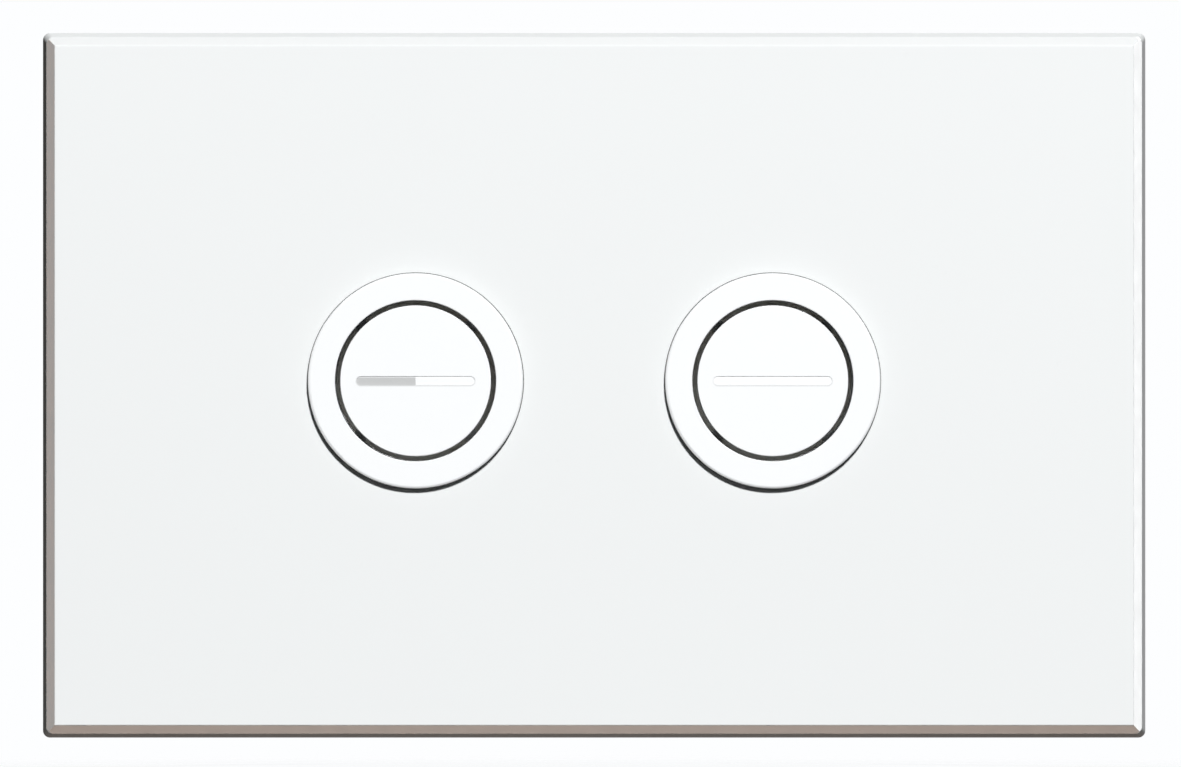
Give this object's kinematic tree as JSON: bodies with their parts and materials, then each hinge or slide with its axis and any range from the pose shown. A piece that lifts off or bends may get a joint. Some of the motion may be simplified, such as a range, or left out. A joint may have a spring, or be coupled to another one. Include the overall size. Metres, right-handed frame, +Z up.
{
  "type": "flush button plate",
  "caption": "Rectangular white wall plate with bevelled edges and round dual-flush push buttons in raised rings, sprung, with rods that work a concealed cistern.",
  "frame": {"origin": "middle of the plate on the wall plane, midway between the fixing screws", "axes": "+X to the viewer's right along the plate's width, +Y into the wall, +Z up the wall; the front faces -Y"},
  "size_m": [0.22, 0.0762, 0.1406],
  "materials": {
    "plate_white": "fine satin gloss white",
    "button_white": "gloss white",
    "frame_grey": "moulded matt grey",
    "nut_grey": "moulded matt dark grey",
    "barrel_black": "moulded matt black",
    "cap_natural": "natural white, matt",
    "rod_natural": "natural white, slightly waxy",
    "black_rubber": "matt black",
    "spring_steel": "drawn stainless wire",
    "zinc_steel": "bright zinc plating"
  },
  "bodies": {
    "plate": {"face_plate": "plate_white", "mounting_frame": "frame_grey", "fixing_screws": "zinc_steel", "screw_washers": "zinc_steel", "half_flush_bezel": "button_white", "half_flush_barrel": "barrel_black", "half_flush_gasket": "black_rubber", "half_flush_back_nut": "nut_grey", "half_flush_rear_cap": "cap_natural", "half_flush_spring": "spring_steel", "full_flush_bezel": "button_white", "full_flush_barrel": "barrel_black", "full_flush_gasket": "black_rubber", "full_flush_back_nut": "nut_grey", "full_flush_rear_cap": "cap_natural", "full_flush_spring": "spring_steel"},
    "half_flush": {"half_flush_button": "button_white", "half_flush_push_rod": "rod_natural", "half_flush_lock_nut": "nut_grey"},
    "full_flush": {"full_flush_button": "button_white", "full_flush_push_rod": "rod_natural", "full_flush_lock_nut": "nut_grey"}
  },
  "joints": [
    {"name": "half_flush_press", "type": "slide", "parent": "plate", "child": "half_flush", "axis": [0, 1, 0], "range_m": [0, 0.007], "stiffness_N_per_m": 400, "springref_m": -0.00625, "deforming": ["half_flush_spring"]},
    {"name": "full_flush_press", "type": "slide", "parent": "plate", "child": "full_flush", "axis": [0, 1, 0], "range_m": [0, 0.007], "stiffness_N_per_m": 400, "springref_m": -0.00625, "deforming": ["full_flush_spring"]}
  ]
}
